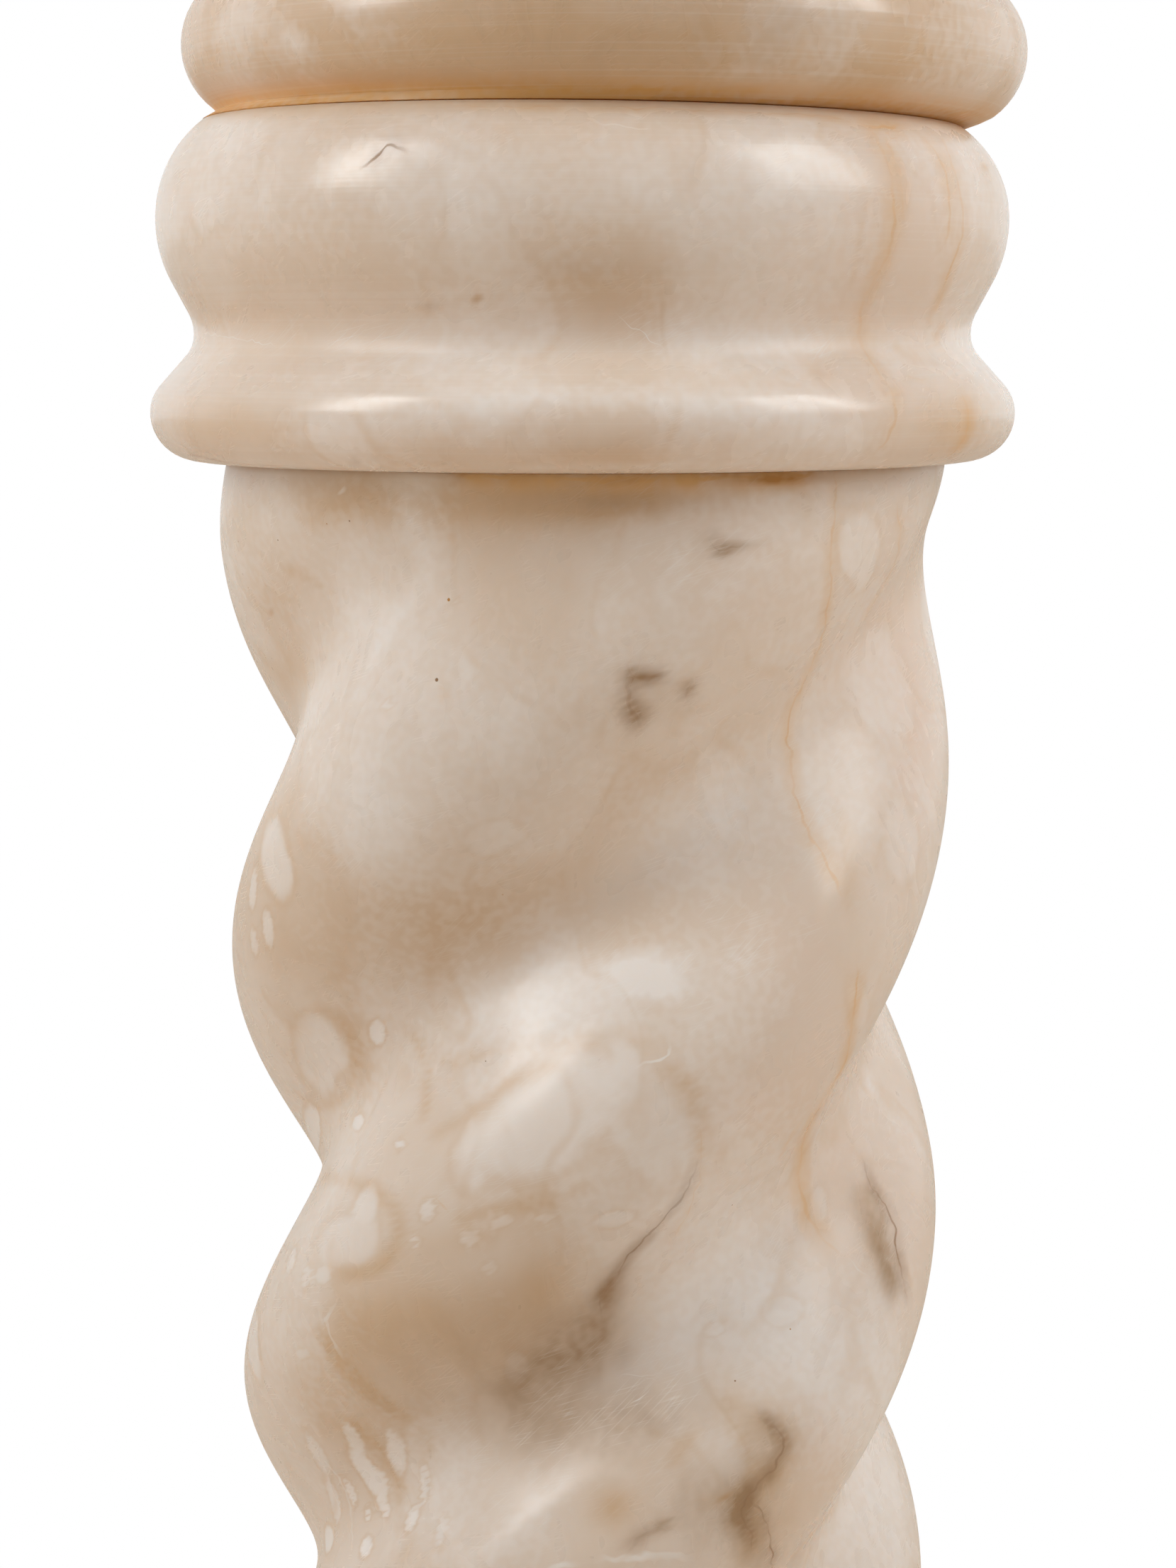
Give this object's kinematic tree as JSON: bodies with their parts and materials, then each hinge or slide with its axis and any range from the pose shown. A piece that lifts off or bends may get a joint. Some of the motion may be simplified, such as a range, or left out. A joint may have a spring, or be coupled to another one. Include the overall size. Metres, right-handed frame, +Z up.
{
  "type": "alabaster column",
  "caption": "Free-standing turned alabaster column: twisted strand shaft between moulded collars, with a round capital slab above and a round moulded foot below.",
  "frame": {"origin": "middle of the underside of the foot", "axes": "+Z up along the column, -Y to the side that the picture shows, +X to the picture's right"},
  "size_m": [0.25, 0.25, 0.9451],
  "materials": {
    "foot_alabaster": "polished translucent alabaster, cream with tan clouds",
    "base_collar_alabaster": "polished translucent alabaster, cream with golden veins",
    "shaft_alabaster": "polished translucent alabaster, cream and tan clouds, pale cells, grey-brown fissures, fine sanding scratches",
    "neck_collar_alabaster": "polished translucent alabaster, cream with golden veins and turning hairlines",
    "capital_alabaster": "polished translucent alabaster, cream with an orange-brown stain along its bed"
  },
  "bodies": {
    "root": {"foot": "foot_alabaster", "base_collar": "base_collar_alabaster", "twisted_shaft": "shaft_alabaster", "neck_collar": "neck_collar_alabaster", "capital": "capital_alabaster"}
  },
  "joints": []
}
